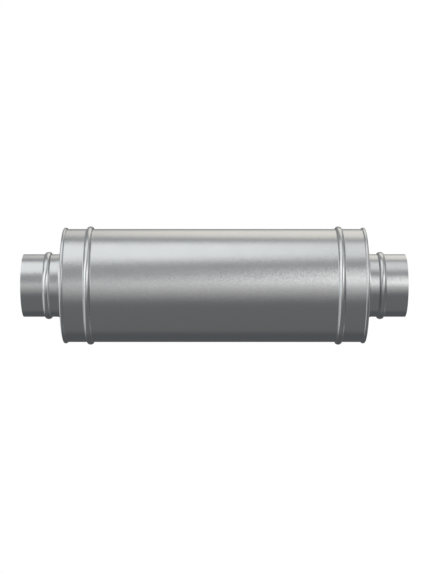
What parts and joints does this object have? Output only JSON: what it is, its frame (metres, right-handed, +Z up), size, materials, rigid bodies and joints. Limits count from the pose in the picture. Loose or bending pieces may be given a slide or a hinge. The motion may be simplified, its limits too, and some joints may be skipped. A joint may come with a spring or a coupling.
{
  "type": "duct sound attenuator",
  "caption": "Round in-line duct silencer: a beaded sheet-steel casing packed with mineral wool round a perforated airway, with a beaded male spigot at each end.",
  "frame": {"origin": "on the airway's axis, half way along the body, which is the centre of the whole part", "axes": "+X along the airway towards the right-hand spigot, +Z up, +Y away from the picture's viewer; the casing's lock seam is on the +Y side"},
  "size_m": [0.758, 0.2354, 0.2353],
  "materials": {
    "casing_steel": "hot-dip galvanised sheet steel, satin, fine spangle",
    "cap_steel": "hot-dip galvanised sheet steel, pressed, satin",
    "spigot_steel": "hot-dip galvanised sheet steel, rolled, satin",
    "perforated_steel": "perforated galvanised sheet steel, matt",
    "sealing_compound": "cured grey sealing compound",
    "glass_tissue": "black glass-fibre tissue",
    "mineral_wool": "mineral wool mat"
  },
  "bodies": {
    "root": {"outer_casing": "casing_steel", "end_cap_left": "cap_steel", "end_cap_right": "cap_steel", "rim_seal_left": "sealing_compound", "rim_seal_right": "sealing_compound", "spigot_left": "spigot_steel", "spigot_right": "spigot_steel", "perforated_liner": "perforated_steel", "glass_tissue": "glass_tissue", "wool_mat": "mineral_wool"}
  },
  "joints": []
}
